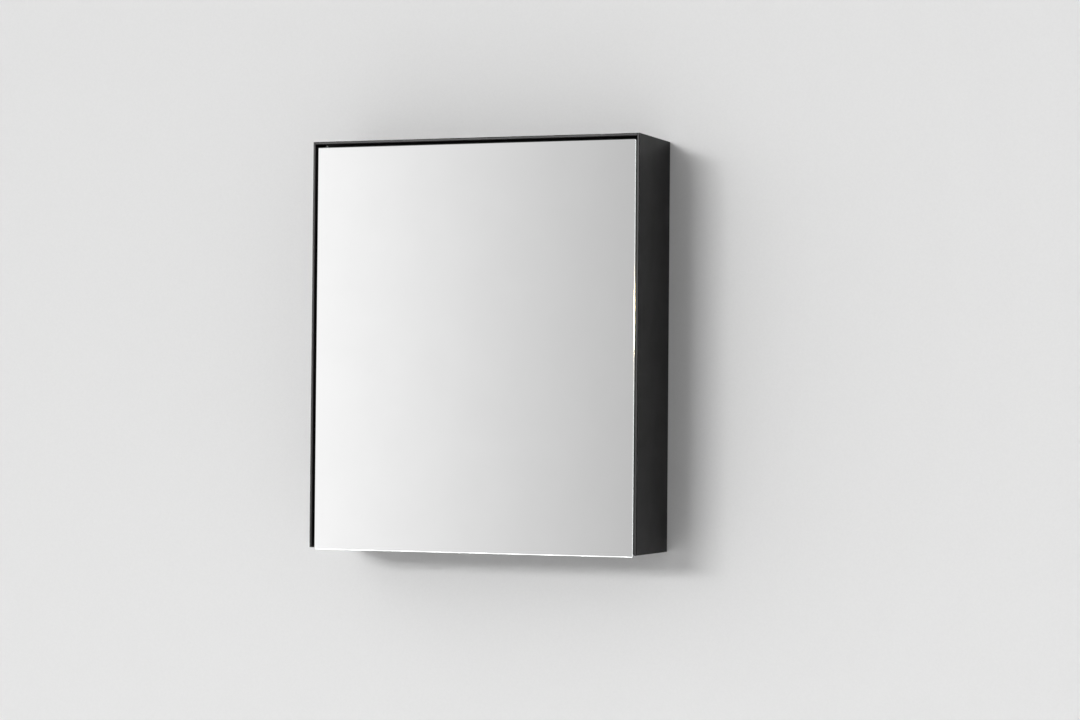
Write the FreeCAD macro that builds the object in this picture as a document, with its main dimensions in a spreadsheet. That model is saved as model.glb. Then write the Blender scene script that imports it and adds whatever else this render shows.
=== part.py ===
import FreeCAD, Part
import math
import os

import Sketcher
from FreeCAD import Rotation, Vector

# Wall-hung mirror cabinet, in millimetres. X runs to the right, Y runs back into the wall, Z runs up.
# The origin is the middle of the four wall holes on the cabinet's back face.

SIZES = [
    # box of 4 mm plates
    ("cabinetWidth", 510),
    ("cabinetHeight", 600),
    ("cabinetDepth", 140),
    ("plateThickness", 4),
    ("plateArris", 0.8),
    # carcass of boards inside the plates
    ("boardThickness", 16),
    ("backThickness", 6),
    ("dowelRadius", 4),
    ("dowelInBoardFace", 12),
    ("dowelInBoardEnd", 20),
    ("dowelInset", 26),
    # mirror door, set in between the plates
    ("mirrorSideGap", 2.6),
    ("mirrorTopGap", 4.6),
    ("mirrorSetback", 3.1),
    ("mirrorOverhang", 2.7),
    ("mirrorThickness", 4),
    ("mirrorArris", 1),
    ("tapeThickness", 0.5),
    ("tapeWidth", 12),
    ("rearMirrorThickness", 3),
    ("rearMirrorGap", 0.4),
    # mitred door rails
    ("frameInset", 3.5),
    ("railWidth", 22),
    ("railDepth", 14.5),
    ("railWall", 1.2),
    ("keyCell", 12),
    ("keyClearance", 0.1),
    ("keyLeg", 45),
    ("doorRearGap", 5),
    # pivot hinge
    ("hingeInset", 12.5),
    ("hingeDepth", 8),
    ("pinRadius", 1.5),
    ("pivotClearance", 0.05),
    ("pinDepthInKey", 11),
    ("pivotBoreSpare", 2),
    ("railHoleClearance", 0.9),
    ("noseRadius", 3.6),
    ("hingePlateThickness", 2.5),
    ("hingePlateFromSide", 1.6),
    ("hingePlateWidth", 26),
    ("hingePlateLap", 26),
    ("hingePlateClearance", 0.3),
    ("hingePlateWaist", 0.6),
    ("washerRadius", 3.4),
    ("washerThickness", 1),
    ("washerPlay", 0.05),
    ("liftPlay", 0.6),
    # shelves on pins
    ("shelfThickness", 5),
    ("shelfSideGap", 1.5),
    ("shelfFrontGap", 6),
    ("shelfBackGap", 4),
    ("shelfCorner", 4),
    ("holePitch", 32),
    ("holeRadius", 2.5),
    ("holeDepth", 9),
    ("holeColumnInset", 22),
    ("holeRowInset", 72),
    ("pegRadius", 2.45),
    ("pegLength", 8),
    ("flangeRadius", 2.9),
    ("flangeThickness", 1.2),
    ("restLength", 9),
    ("restRadius", 2.2),
    ("sleeveWall", 0.8),
    # screws
    ("panelScrewRadius", 2),
    ("panelScrewHead", 4),
    ("panelScrewInPlate", 2.8),
    ("screwClearance", 0.15),
    ("panelScrewInset", 80),
    ("panelScrewFromEnd", 92),
    ("panelScrewEdge", 14),
    ("backScrewRadius", 1.75),
    ("backScrewHead", 3.5),
    ("backScrewInBoard", 18),
    ("backScrewInset", 60),
    ("plateScrewHead", 3.8),
    ("plateScrewHeadHeight", 2.4),
    ("plateScrewInset", 7),
    # wall holes
    ("wallHoleRadius", 3),
    ("wallHoleInset", 35),
    # catch and stops
    ("bumperRadius", 4),
    ("bumperInset", 5),
    ("bumperPlay", 0.1),
    ("bumperFromEnd", 30),
    ("catchFromBottom", 110),
    ("catchInset", 5.5),
    ("magnetRadius", 3.2),
    ("magnetLength", 10),
    ("sleeveRadius", 4.3),
    ("strikerRadius", 4.2),
    ("strikerThickness", 1),
    ("strikerScrewRadius", 1.2),
    ("strikerScrewLength", 4.5),
]
SHELF_NAMES = ("shelf_lower", "shelf_middle", "shelf_upper")
NOSE_GUESS = (165, 300)  # degrees round the hinge nose where its flanks start to touch it

doc = FreeCAD.newDocument("MirrorCabinet")
sheet = doc.addObject("Spreadsheet::Sheet", "Sizes")
for row, (alias, amount) in enumerate(SIZES, 1):
    sheet.set(f"A{row}", alias)
    sheet.set(f"B{row}", str(amount))
    sheet.setAlias(f"B{row}", alias)
doc.recompute()


class Size:
    """A length that knows both its number and the expression that gives it from the sheet."""

    def __init__(self, number, text):
        self.number = number
        self.text = text

    def __add__(self, other):
        other = as_size(other)
        return Size(self.number + other.number, f"({self.text} + {other.text})")

    def __sub__(self, other):
        other = as_size(other)
        return Size(self.number - other.number, f"({self.text} - {other.text})")

    def __mul__(self, factor):
        return Size(self.number * factor, f"({self.text} * {factor})")

    def __truediv__(self, divisor):
        return Size(self.number / divisor, f"({self.text} / {divisor})")

    def __neg__(self):
        return Size(-self.number, f"(-1 * {self.text})")


def as_size(amount):
    if isinstance(amount, Size):
        return amount
    return Size(float(amount), f"({amount})")


def size(alias):
    """The driving size with this alias."""
    return Size(float(sheet.get(alias)), f"Sizes.{alias}")


def bind(item, **sizes):
    """Tie properties of a document object to sizes."""
    for name, amount in sizes.items():
        item.setExpression(name, as_size(amount).text)


def place(item, x, y, z, rotation=None):
    """Put an object's own origin at x, y, z."""
    if rotation is not None:
        item.Placement.Rotation = rotation
    for axis, amount in zip("xyz", (x, y, z)):
        item.setExpression(f"Placement.Base.{axis}", as_size(amount).text)


# ---------- places worked out from the driving sizes ----------
zero = as_size(0)
half_width = size("cabinetWidth") / 2
half_height = size("cabinetHeight") / 2
plate = size("plateThickness")
board = size("boardThickness")
plate_in_x = half_width - plate
plate_in_z = half_height - plate
inner_x = plate_in_x - board
inner_z = plate_in_z - board
plate_front = -size("cabinetDepth")
board_back = -size("backThickness")

glass_front = plate_front + size("mirrorSetback")
glass_back = glass_front + size("mirrorThickness")
frame_front = glass_back + size("tapeThickness")
frame_back = frame_front + size("railDepth")
board_front = frame_back + size("doorRearGap")

glass_x = plate_in_x - size("mirrorSideGap")
glass_top = plate_in_z - size("mirrorTopGap")
glass_bottom = -half_height - size("mirrorOverhang")
frame_x = glass_x - size("frameInset")
frame_top = glass_top - size("frameInset")
hinge_plate = size("hingePlateThickness")
frame_bottom = -plate_in_z + hinge_plate + size("washerThickness") + size("washerPlay")

hinge_x = -glass_x + size("hingeInset")
hinge_y = glass_front + size("hingeDepth")
rebate_start = size("keyCell") + size("railWall") * 2


# ---------- building blocks ----------
def box(name, x0, x1, y0, y1, z0, z1):
    """A block between two corners."""
    item = doc.addObject("Part::Box", name)
    bind(item, Length=x1 - x0, Width=y1 - y0, Height=z1 - z0)
    place(item, x0, y0, z0)
    return item


ALONG = {
    "+x": Rotation(Vector(0, 1, 0), 90),
    "-x": Rotation(Vector(0, 1, 0), -90),
    "+y": Rotation(Vector(1, 0, 0), -90),
    "-y": Rotation(Vector(1, 0, 0), 90),
    "+z": Rotation(),
    "-z": Rotation(Vector(1, 0, 0), 180),
}


def rod(name, x, y, z, along, radius, length):
    """A cylinder that starts at a point and runs along an axis."""
    item = doc.addObject("Part::Cylinder", name)
    bind(item, Radius=radius, Height=length)
    place(item, x, y, z, ALONG[along])
    return item


def taper(name, x, y, z, along, start_radius, end_radius, length):
    """A cone that starts at a point and runs along an axis."""
    item = doc.addObject("Part::Cone", name)
    bind(item, Radius1=start_radius, Radius2=end_radius, Height=length)
    place(item, x, y, z, ALONG[along])
    return item


def fused(name, pieces):
    item = doc.addObject("Part::MultiFuse", name)
    item.Shapes = pieces
    item.Label = name
    return item


def grouped(name, pieces):
    """Separate solids kept together in one node."""
    item = doc.addObject("Part::Compound", name)
    item.Links = pieces
    item.Label = name
    return item


def cut(name, base, tools):
    """The base with every tool taken out of it."""
    tool = tools[0]
    if len(tools) > 1:
        tool = doc.addObject("Part::Compound", name + "_tools")
        tool.Links = tools
    item = doc.addObject("Part::Cut", name)
    item.Base = base
    item.Tool = tool
    item.Label = name
    return item


def new_body(name):
    item = doc.addObject("PartDesign::Body", name)
    item.Label = name
    return item


def origin_plane(body, role):
    return next(part for part in body.Origin.OriginFeatures if part.Role == role)


def new_sketch(body, role, name):
    sketch = body.newObject("Sketcher::SketchObject", name)
    sketch.AttachmentSupport = (origin_plane(body, role), [""])
    sketch.MapMode = "FlatFace"
    return sketch


def fix_point(sketch, geometry, end, x, y):
    """Hold one point of a sketch at x, y from the sketch's origin."""
    for kind, amount in (("DistanceX", x), ("DistanceY", y)):
        amount = as_size(amount)
        index = sketch.addConstraint(Sketcher.Constraint(kind, -1, 1, geometry, end, amount.number))
        sketch.setExpression(f"Constraints[{index}]", amount.text)


def outline(sketch, points):
    """A closed outline of straight lines through the given points."""
    first = sketch.GeometryCount
    places = [Vector(as_size(x).number, as_size(y).number, 0) for x, y in points]
    for index, start in enumerate(places):
        sketch.addGeometry(Part.LineSegment(start, places[(index + 1) % len(places)]), False)
    for index, (x, y) in enumerate(points):
        following = first + (index + 1) % len(points)
        sketch.addConstraint(Sketcher.Constraint("Coincident", first + index, 2, following, 1))
        fix_point(sketch, first + index, 1, x, y)


def rectangle(sketch, x0, x1, y0, y1):
    outline(sketch, [(x0, y0), (x1, y0), (x1, y1), (x0, y1)])


def circle(sketch, x, y, radius):
    centre = Vector(as_size(x).number, as_size(y).number, 0)
    index = sketch.addGeometry(Part.Circle(centre, Vector(0, 0, 1), radius.number), False)
    fix_point(sketch, index, 3, x, y)
    held = sketch.addConstraint(Sketcher.Constraint("Radius", index, radius.number))
    sketch.setExpression(f"Constraints[{held}]", radius.text)


def pad(body, sketch, name, length):
    feature = body.newObject("PartDesign::Pad", name)
    feature.Profile = sketch
    bind(feature, Length=length)
    sketch.Visibility = False
    return feature


def pocket(body, sketch, name, length=None, reverse=False):
    """Cut a sketch out of a body, to a depth or right through both ways, and check that it cuts."""
    doc.recompute()
    before = body.Shape.Volume
    feature = body.newObject("PartDesign::Pocket", name)
    feature.Profile = sketch
    feature.Reversed = reverse
    if length is None:
        feature.Type = "ThroughAll"
        feature.Midplane = True
    else:
        bind(feature, Length=length)
    sketch.Visibility = False
    doc.recompute()
    if not body.Shape.Volume < before:
        raise RuntimeError(f"{name} cuts nothing")
    return feature


def dress(body, kind, name, test, **sizes):
    """Chamfer or fillet the edges of the body's last feature whose two ends pass the test."""
    doc.recompute()
    base = body.Tip
    names = []
    for number, edge in enumerate(base.Shape.Edges, 1):
        if test(edge.Vertexes[0].Point, edge.Vertexes[-1].Point):
            names.append(f"Edge{number}")
    feature = body.newObject(f"PartDesign::{kind}", name)
    feature.Base = (base, names)
    bind(feature, **sizes)
    return feature


TURN_TO_SIDE = Rotation(Vector(1, 1, 1), 120)  # own x to Y, own y to Z, own z to X
STAND_UP = Rotation(Vector(1, 0, 0), 90)  # own x to X, own y to Z, own z to -Y
near = 1e-6


# ---------- plates of the box ----------
def side_panel(name, x):
    """A side plate with its front edges broken by a small arris."""
    body = new_body(name)
    sketch = new_sketch(body, "XY_Plane", name + "_face")
    rectangle(sketch, zero, size("cabinetDepth"), zero, size("cabinetHeight"))
    pad(body, sketch, name + "_pad", plate)
    dress(body, "Chamfer", name + "_arris", lambda a, b: abs(a.x) < near and abs(b.x) < near,
          Size=size("plateArris"))
    place(body, x, plate_front, -half_height, TURN_TO_SIDE)
    return body


def flat_panel(name, front, z):
    """A top or bottom plate between the sides, with its front edges broken."""
    body = new_body(name)
    sketch = new_sketch(body, "XY_Plane", name + "_face")
    rectangle(sketch, zero, plate_in_x * 2, zero, -front)
    pad(body, sketch, name + "_pad", plate)
    dress(body, "Chamfer", name + "_arris",
          lambda a, b: abs(a.y) < near and abs(b.y) < near and abs(a.z - b.z) < near,
          Size=size("plateArris"))
    place(body, -plate_in_x, front, z)
    return body


# ---------- panel screws: through the boards, into the plates ----------
def panel_screw_spots():
    """Where each panel screw's head lies on a board's inner face, and which way the screw points."""
    front = board_front + size("panelScrewEdge")
    back = board_back - size("panelScrewEdge")
    far_x = inner_x - size("panelScrewInset")
    far_z = inner_z - size("panelScrewFromEnd")
    spots = []
    for y in (front, back):
        for z in (-far_z, far_z):
            spots.append(("side_right", inner_x, y, z, "+x"))
            spots.append(("side_left", -inner_x, y, z, "-x"))
        for x in (-far_x, far_x):
            spots.append(("top", x, y, inner_z, "+z"))
            spots.append(("bottom", x, y, -inner_z, "-z"))
    return spots


def panel_screw(name, x, y, z, along, radius, length):
    """Head and shank of a countersunk screw, or the hole that it needs."""
    head = size("panelScrewHead")
    core = size("panelScrewRadius")
    return [
        taper(name + "_head", x, y, z, along, head, core, head - core),
        rod(name + "_shank", x, y, z, along, radius, length),
    ]


def panel_screws():
    screws = []
    for index, (_, x, y, z, along) in enumerate(panel_screw_spots()):
        name = f"panel_screw_{index}"
        length = board + size("panelScrewInPlate")
        screws.append(fused(name, panel_screw(name, x, y, z, along, size("panelScrewRadius"), length)))
    return grouped("panel_screws", screws)


def board_screw_holes(where):
    tools = []
    for index, (side, x, y, z, along) in enumerate(panel_screw_spots()):
        if side == where:
            tools += panel_screw(f"hole_{where}_{index}", x, y, z, along,
                                 size("panelScrewRadius") + size("screwClearance"), board)
    return tools


def plate_screw_holes(where):
    """Blind tapped holes in a plate, on the same spots as the screws."""
    tools = []
    for index, (side, x, y, z, along) in enumerate(panel_screw_spots()):
        if side == where:
            tools.append(rod(f"tapped_{where}_{index}", x, y, z, along, size("panelScrewRadius"),
                             board + size("panelScrewInPlate")))
    return tools


def plates():
    left = side_panel("left_plate_body", -half_width)
    right = side_panel("right_plate_body", plate_in_x)
    top = flat_panel("top_plate_body", plate_front, plate_in_z)
    bottom = flat_panel("bottom_plate_body", board_front, -half_height)
    return [
        cut("side_panel_left", left, plate_screw_holes("side_left")),
        cut("side_panel_right", right, plate_screw_holes("side_right")),
        cut("top_panel", top, plate_screw_holes("top")),
        cut("bottom_panel", bottom, plate_screw_holes("bottom")),
    ]


# ---------- dowels and back screws ----------
def dowel_spots():
    """The inner end of each dowel, in the end of a top or bottom board."""
    spots = []
    middle_z = inner_z + board / 2
    for y in (board_front + size("dowelInset"), board_back - size("dowelInset")):
        for z in (-middle_z, middle_z):
            spots.append((inner_x - size("dowelInBoardEnd"), y, z, "+x"))
            spots.append((size("dowelInBoardEnd") - inner_x, y, z, "-x"))
    return spots


def dowels(prefix):
    length = size("dowelInBoardEnd") + size("dowelInBoardFace")
    return [rod(f"{prefix}_{index}", x, y, z, along, size("dowelRadius"), length)
            for index, (x, y, z, along) in enumerate(dowel_spots())]


def back_screw_spots():
    """Where the back panel's screws stand, on the middle line of each board's rear edge."""
    side = inner_x + board / 2
    level = inner_z + board / 2
    spots = [(x, z) for x in (-side, side) for z in (size("backScrewInset") - level, zero,
                                                    level - size("backScrewInset"))]
    spots += [(x, z) for x in (size("backScrewInset") - side, side - size("backScrewInset"))
              for z in (-level, level)]
    return spots


def back_screw_parts(prefix):
    """For each back screw its head and shank, from the back face into the board."""
    radius = size("backScrewRadius")
    head = size("backScrewHead")
    length = size("backThickness") + size("backScrewInBoard")
    parts = []
    for index, (x, z) in enumerate(back_screw_spots()):
        parts.append([
            taper(f"{prefix}_{index}_head", x, zero, z, "-y", head, radius, head - radius),
            rod(f"{prefix}_{index}_shank", x, zero, z, "-y", radius, length),
        ])
    return parts


def back_screws():
    screws = [fused(f"back_screw_{index}", parts) for index, parts in enumerate(back_screw_parts("back"))]
    return grouped("back_screws", screws)


# ---------- boards ----------
hole_pitch = size("holePitch")
inner_height = inner_z * 2
row_count = int((inner_height.number - 2 * size("holeRowInset").number) / hole_pitch.number) + 1
hole_columns = (board_front + size("holeColumnInset"), board_back - size("holeColumnInset"))


def row_level(index):
    """Height of a row of shelf holes above the inner bottom."""
    return size("holeRowInset") + hole_pitch * index


def shelf_row(number):
    """The row of holes nearest to an even spacing of the shelves."""
    even = inner_height.number * (number + 1) / (len(SHELF_NAMES) + 1)
    return round((even - size("holeRowInset").number) / hole_pitch.number)


def side_board(name, x, open_side):
    """A side board with two columns of blind shelf holes on its inner face."""
    body = new_body(name + "_body")
    face = new_sketch(body, "XY_Plane", name + "_face")
    rectangle(face, board_front, board_back, -plate_in_z, plate_in_z)
    pad(body, face, name + "_pad", board)
    holes = new_sketch(body, "XY_Plane", name + "_holes")
    for y in hole_columns:
        circle(holes, y, row_level(0) - inner_z, size("holeRadius"))
    if open_side > 0:
        holes.setExpression("AttachmentOffset.Base.z", board.text)
    first = pocket(body, holes, name + "_hole", size("holeDepth"), reverse=open_side < 0)
    pattern = body.newObject("PartDesign::LinearPattern", name + "_rows")
    pattern.Originals = [first]
    pattern.Direction = (holes, ["V_Axis"])
    pattern.Occurrences = row_count
    bind(pattern, Length=hole_pitch * (row_count - 1))
    body.Tip = pattern
    place(body, x, zero, zero, TURN_TO_SIDE)
    return body


def boards():
    back_tools = [part for parts in back_screw_parts("pilot") for part in parts]
    back_holes = grouped("back_screw_holes", back_tools)
    dowel_holes = grouped("dowel_holes", dowels("dowel_hole"))
    catch_bore = rod("catch_bore", catch_x, board_front, catch_z, "+y", size("sleeveRadius"), catch_depth)
    left = side_board("carcass_side_left", -plate_in_x, 1)
    right = side_board("carcass_side_right", inner_x, -1)
    top = box("top_board", -inner_x, inner_x, board_front, board_back, inner_z, plate_in_z)
    bottom = box("bottom_board", -inner_x, inner_x, board_front, board_back, -plate_in_z, -inner_z)
    shared = [back_holes, dowel_holes]
    return [
        cut("carcass_side_left", left, shared + board_screw_holes("side_left")),
        cut("carcass_side_right", right, shared + board_screw_holes("side_right") + [catch_bore]),
        cut("carcass_top", top, shared + board_screw_holes("top") + hinge_plate_pocket("top", 1)),
        cut("carcass_bottom", bottom, shared + board_screw_holes("bottom")
            + hinge_plate_pocket("bottom", -1)),
    ]


wall_hole_x = inner_x - size("wallHoleInset")
wall_hole_z = inner_z - size("wallHoleInset")


def back_panel():
    """The back board with countersunk screw holes and the four wall holes."""
    body = new_body("back_board")
    face = new_sketch(body, "XY_Plane", "back_face")
    rectangle(face, -plate_in_x, plate_in_x, -plate_in_z, plate_in_z)
    pad(body, face, "back_pad", size("backThickness"))
    holes = new_sketch(body, "XY_Plane", "wall_holes")
    for x in (-wall_hole_x, wall_hole_x):
        for z in (-wall_hole_z, wall_hole_z):
            circle(holes, x, z, size("wallHoleRadius"))
    pocket(body, holes, "wall_hole_cut", size("backThickness"), reverse=True)
    place(body, zero, zero, zero, STAND_UP)
    tools = [part for parts in back_screw_parts("back_hole") for part in parts]
    return cut("back_panel", body, tools)


# ---------- shelves ----------
peg_centre_drop = size("restRadius") + size("sleeveWall")


def shelf(name, number):
    """A glass shelf with rounded corners, resting on its four sleeves."""
    half = inner_x - size("shelfSideGap")
    front = board_front + size("shelfFrontGap")
    back = board_back - size("shelfBackGap")
    body = new_body(name)
    sketch = new_sketch(body, "XY_Plane", name + "_face")
    rectangle(sketch, -half, half, front, back)
    pad(body, sketch, name + "_pad", size("shelfThickness"))
    dress(body, "Fillet", name + "_corners", lambda a, b: abs(a.z - b.z) > near, Radius=size("shelfCorner"))
    place(body, zero, zero, row_level(shelf_row(number)) - inner_z + peg_centre_drop)
    return body


def pin_spots():
    spots = []
    for number in range(len(SHELF_NAMES)):
        level = row_level(shelf_row(number)) - inner_z
        for y in hole_columns:
            spots.append((inner_x, y, level, "+x", "-x"))
            spots.append((-inner_x, y, level, "-x", "+x"))
    return spots


def shelf_pins():
    """Turned pins: a peg in the board, a flange against it, and a slim rest under the shelf."""
    pins = []
    for index, (x, y, z, inward, outward) in enumerate(pin_spots()):
        name = f"shelf_pin_{index}"
        pins.append(fused(name, [
            rod(name + "_peg", x, y, z, inward, size("pegRadius"), size("pegLength")),
            rod(name + "_flange", x, y, z, outward, size("flangeRadius"), size("flangeThickness")),
            rod(name + "_rest", x, y, z, outward, size("restRadius"),
                size("flangeThickness") + size("restLength")),
        ]))
    return grouped("shelf_pins", pins)


def shelf_sleeves():
    """Clear sleeves on the pins' rests, which the glass lies on."""
    sleeves = []
    for index, (x, y, z, _, outward) in enumerate(pin_spots()):
        name = f"shelf_sleeve_{index}"
        start = x - size("flangeThickness") if outward == "-x" else x + size("flangeThickness")
        outer = rod(name + "_outer", start, y, z, outward, peg_centre_drop, size("restLength"))
        inner = rod(name + "_inner", start, y, z, outward, size("restRadius"), size("restLength"))
        sleeves.append(cut(name, outer, [inner]))
    return grouped("shelf_sleeves", sleeves)


# ---------- pivot hinge ----------
plate_front_reach = board_front - hinge_y - size("hingePlateWaist")
plate_left = size("hingePlateFromSide") - inner_x - hinge_x
plate_right = plate_left + size("hingePlateWidth")
plate_back = board_front - hinge_y + size("hingePlateLap")
plate_screw_y = board_front + size("hingePlateLap") / 2
plate_screw_x = (hinge_x + plate_left + size("plateScrewInset"),
                 hinge_x + plate_right - size("plateScrewInset"))


def hinge_plate_body(name, z):
    """A flat plate whose slim nose holds the pin, leaning clear of the opened mirror."""
    nose = size("noseRadius")
    body = new_body(name + "_body")
    sketch = new_sketch(body, "XY_Plane", name + "_outline")
    corners = [(plate_right, plate_front_reach), (plate_right, plate_back), (plate_left, plate_back),
               (plate_left, plate_front_reach)]
    spots = [Vector(x.number, y.number, 0) for x, y in corners]
    for start, end in zip(spots, spots[1:]):
        sketch.addGeometry(Part.LineSegment(start, end), False)
    angles = [math.radians(guess) for guess in NOSE_GUESS]
    left_touch, right_touch = [Vector(math.cos(angle), math.sin(angle), 0) * nose.number for angle in angles]
    left_line = sketch.addGeometry(Part.LineSegment(spots[3], left_touch), False)
    round_nose = Part.Circle(Vector(), Vector(0, 0, 1), nose.number)
    arc = sketch.addGeometry(Part.ArcOfCircle(round_nose, *angles), False)
    right_line = sketch.addGeometry(Part.LineSegment(right_touch, spots[0]), False)
    for index, (x, y) in enumerate(corners[:3]):
        fix_point(sketch, index, 1, x, y)
    fix_point(sketch, 2, 2, *corners[3])
    sketch.addConstraint(Sketcher.Constraint("Coincident", 0, 2, 1, 1))
    sketch.addConstraint(Sketcher.Constraint("Coincident", 1, 2, 2, 1))
    sketch.addConstraint(Sketcher.Constraint("Coincident", 2, 2, left_line, 1))
    sketch.addConstraint(Sketcher.Constraint("Coincident", right_line, 2, 0, 1))
    sketch.addConstraint(Sketcher.Constraint("Coincident", arc, 3, -1, 1))
    held = sketch.addConstraint(Sketcher.Constraint("Radius", arc, nose.number))
    sketch.setExpression(f"Constraints[{held}]", nose.text)
    sketch.addConstraint(Sketcher.Constraint("Tangent", left_line, 2, arc, 1))
    sketch.addConstraint(Sketcher.Constraint("Tangent", arc, 2, right_line, 1))
    circle(sketch, zero, zero, size("pinRadius"))
    for x in plate_screw_x:
        circle(sketch, x - hinge_x, plate_screw_y - hinge_y, size("panelScrewRadius"))
    pad(body, sketch, name + "_pad", hinge_plate)
    place(body, hinge_x, hinge_y, z)
    body.Label = name
    return body


def hinge_plate_pocket(where, side):
    """The recess in a board for the hinge plate, and the holes for its two screws."""
    gap = size("hingePlateClearance")
    low = plate_in_z - hinge_plate if side > 0 else -plate_in_z
    tools = [box(f"plate_recess_{where}", hinge_x + plate_left - gap, hinge_x + plate_right + gap,
                 board_front - gap, hinge_y + plate_back + gap, low, low + hinge_plate)]
    face = inner_z if side > 0 else -inner_z
    along = "+z" if side > 0 else "-z"
    for index, x in enumerate(plate_screw_x):
        tools.append(rod(f"plate_screw_hole_{where}_{index}", x, plate_screw_y, face, along,
                         size("panelScrewRadius") + size("screwClearance"), board))
    return tools


def hinge_plate_screws():
    """Pan-head screws from inside the cabinet, through a board into the hinge plates."""
    screws = []
    for where, face, along, back in (("top", inner_z, "+z", "-z"), ("bottom", -inner_z, "-z", "+z")):
        for index, x in enumerate(plate_screw_x):
            name = f"plate_screw_{where}_{index}"
            screws.append(fused(name, [
                rod(name + "_head", x, plate_screw_y, face, back, size("plateScrewHead"),
                    size("plateScrewHeadHeight")),
                rod(name + "_shank", x, plate_screw_y, face, along, size("panelScrewRadius"), board),
            ]))
    return grouped("hinge_plate_screws", screws)


def hinge_pin(name, plate_face, frame_face, into):
    """A pin riveted through its plate, reaching into the corner key of the door."""
    reach = size("pinDepthInKey") + size("railWall")
    if into == "+z":
        length = frame_face - plate_face + reach + hinge_plate
        start = plate_face - hinge_plate
    else:
        length = plate_face - frame_face + reach + hinge_plate
        start = plate_face + hinge_plate
    pin = rod(name, hinge_x, hinge_y, start, into, size("pinRadius"), length)
    pin.Label = name
    return pin


def ring(name, z0, z1, bore):
    """A flat ring around the hinge axis."""
    outer = rod(name + "_outer", hinge_x, hinge_y, z0, "+z", size("washerRadius"), z1 - z0)
    inner = rod(name + "_bore", hinge_x, hinge_y, z0, "+z", bore, z1 - z0)
    return cut(name, outer, [inner])


top_plate_face = plate_in_z - hinge_plate
bottom_plate_face = hinge_plate - plate_in_z


def hinge_parts():
    return [
        hinge_plate_body("hinge_plate_top", top_plate_face),
        hinge_plate_body("hinge_plate_bottom", -plate_in_z),
        hinge_pin("hinge_pin_top", top_plate_face, frame_top, "-z"),
        hinge_pin("hinge_pin_bottom", bottom_plate_face, frame_bottom, "+z"),
        ring("hinge_spacer_top", frame_top + size("liftPlay"), top_plate_face, size("pinRadius")),
        ring("hinge_washer_bottom", bottom_plate_face, bottom_plate_face + size("washerThickness"),
             size("pinRadius")),
        hinge_plate_screws(),
    ]


# ---------- catch and stops ----------
catch_x = inner_x + size("catchInset")
catch_z = size("catchFromBottom") - inner_z
catch_face = frame_back + size("strikerThickness") + size("bumperPlay")
catch_depth = size("magnetLength") + catch_face - board_front + size("sleeveWall")


def catch_parts():
    """A magnet in a sleeve pressed into the right board, and the steel disc on the door."""
    length = size("magnetLength")
    sleeve_length = length + size("sleeveWall")
    shell = rod("catch_shell", catch_x, catch_face, catch_z, "+y", size("sleeveRadius"), sleeve_length)
    hollow = rod("catch_hollow", catch_x, catch_face, catch_z, "+y", size("magnetRadius"), length)
    sleeve = cut("catch_sleeve", shell, [hollow])
    magnet = rod("catch_magnet", catch_x, catch_face, catch_z, "+y", size("magnetRadius"), length)
    magnet.Label = "catch_magnet"
    head = size("strikerScrewRadius") * 2
    disc = rod("striker_blank", catch_x, frame_back, catch_z, "+y", size("strikerRadius"),
               size("strikerThickness"))
    return [sleeve, magnet,
            cut("striker_disc", disc, striker_screw_parts("striker_hole", head)),
            fused("striker_screw", striker_screw_parts("striker_fix", head)),
            door_bumpers()]


def striker_screw_parts(prefix, head):
    """A small countersunk screw through the striker into the rail's rear wall."""
    radius = size("strikerScrewRadius")
    top = frame_back + size("strikerThickness")
    return [
        taper(prefix + "_head", catch_x, top, catch_z, "-y", head, radius, size("strikerThickness")),
        rod(prefix + "_shank", catch_x, top, catch_z, "-y", radius, size("strikerScrewLength")),
    ]


def door_bumpers():
    """Domed stops on the right board's front edge, a little short of the closed door."""
    stops = []
    x = inner_x + size("bumperInset")
    height = size("doorRearGap") - size("bumperPlay")
    for index, z in enumerate((size("bumperFromEnd") - inner_z, zero, inner_z - size("bumperFromEnd"))):
        base = rod(f"bumper_base_{index}", x, board_front, z, "-y", size("bumperRadius"), height / 2)
        tip = taper(f"bumper_tip_{index}", x, board_front - height / 2, z, "-y", size("bumperRadius"),
                    size("bumperRadius") / 2, height / 2)
        stops.append(fused(f"bumper_{index}", [base, tip]))
    return grouped("door_bumpers", stops)


# ---------- door ----------
def mirror_front():
    """The front mirror, with its front edges ground to a polished arris."""
    body = new_body("mirror_front")
    sketch = new_sketch(body, "XY_Plane", "mirror_outline")
    rectangle(sketch, -glass_x, glass_x, glass_bottom, glass_top)
    pad(body, sketch, "mirror_pad", size("mirrorThickness"))
    thickness = size("mirrorThickness").number
    dress(body, "Chamfer", "mirror_bevel",
          lambda a, b: abs(a.z - thickness) < near and abs(b.z - thickness) < near,
          Size=size("mirrorArris"))
    place(body, zero, glass_back, zero, STAND_UP)
    return body


def mirror_rear():
    """The rear mirror, flush in the rails' rebate."""
    edge = rebate_start + size("rearMirrorGap")
    front = frame_back - size("rearMirrorThickness")
    item = box("mirror_rear", edge - frame_x, frame_x - edge, front, frame_back,
               frame_bottom + edge, frame_top - edge)
    item.Label = "mirror_rear"
    return item


def bonding_tape():
    """Four strips between the front mirror and the rails."""
    inset = (size("railWidth") - size("tapeWidth")) / 2
    near_x = frame_x - inset - size("tapeWidth")
    far_x = frame_x - inset
    low = frame_bottom + inset
    high = frame_top - inset
    width = size("tapeWidth")
    strips = [
        box("tape_left", -far_x, -near_x, glass_back, frame_front, low, high),
        box("tape_right", near_x, far_x, glass_back, frame_front, low, high),
        box("tape_top", -near_x, near_x, glass_back, frame_front, high - width, high),
        box("tape_bottom", -near_x, near_x, glass_back, frame_front, low, low + width),
    ]
    return grouped("bonding_tape", strips)


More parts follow.
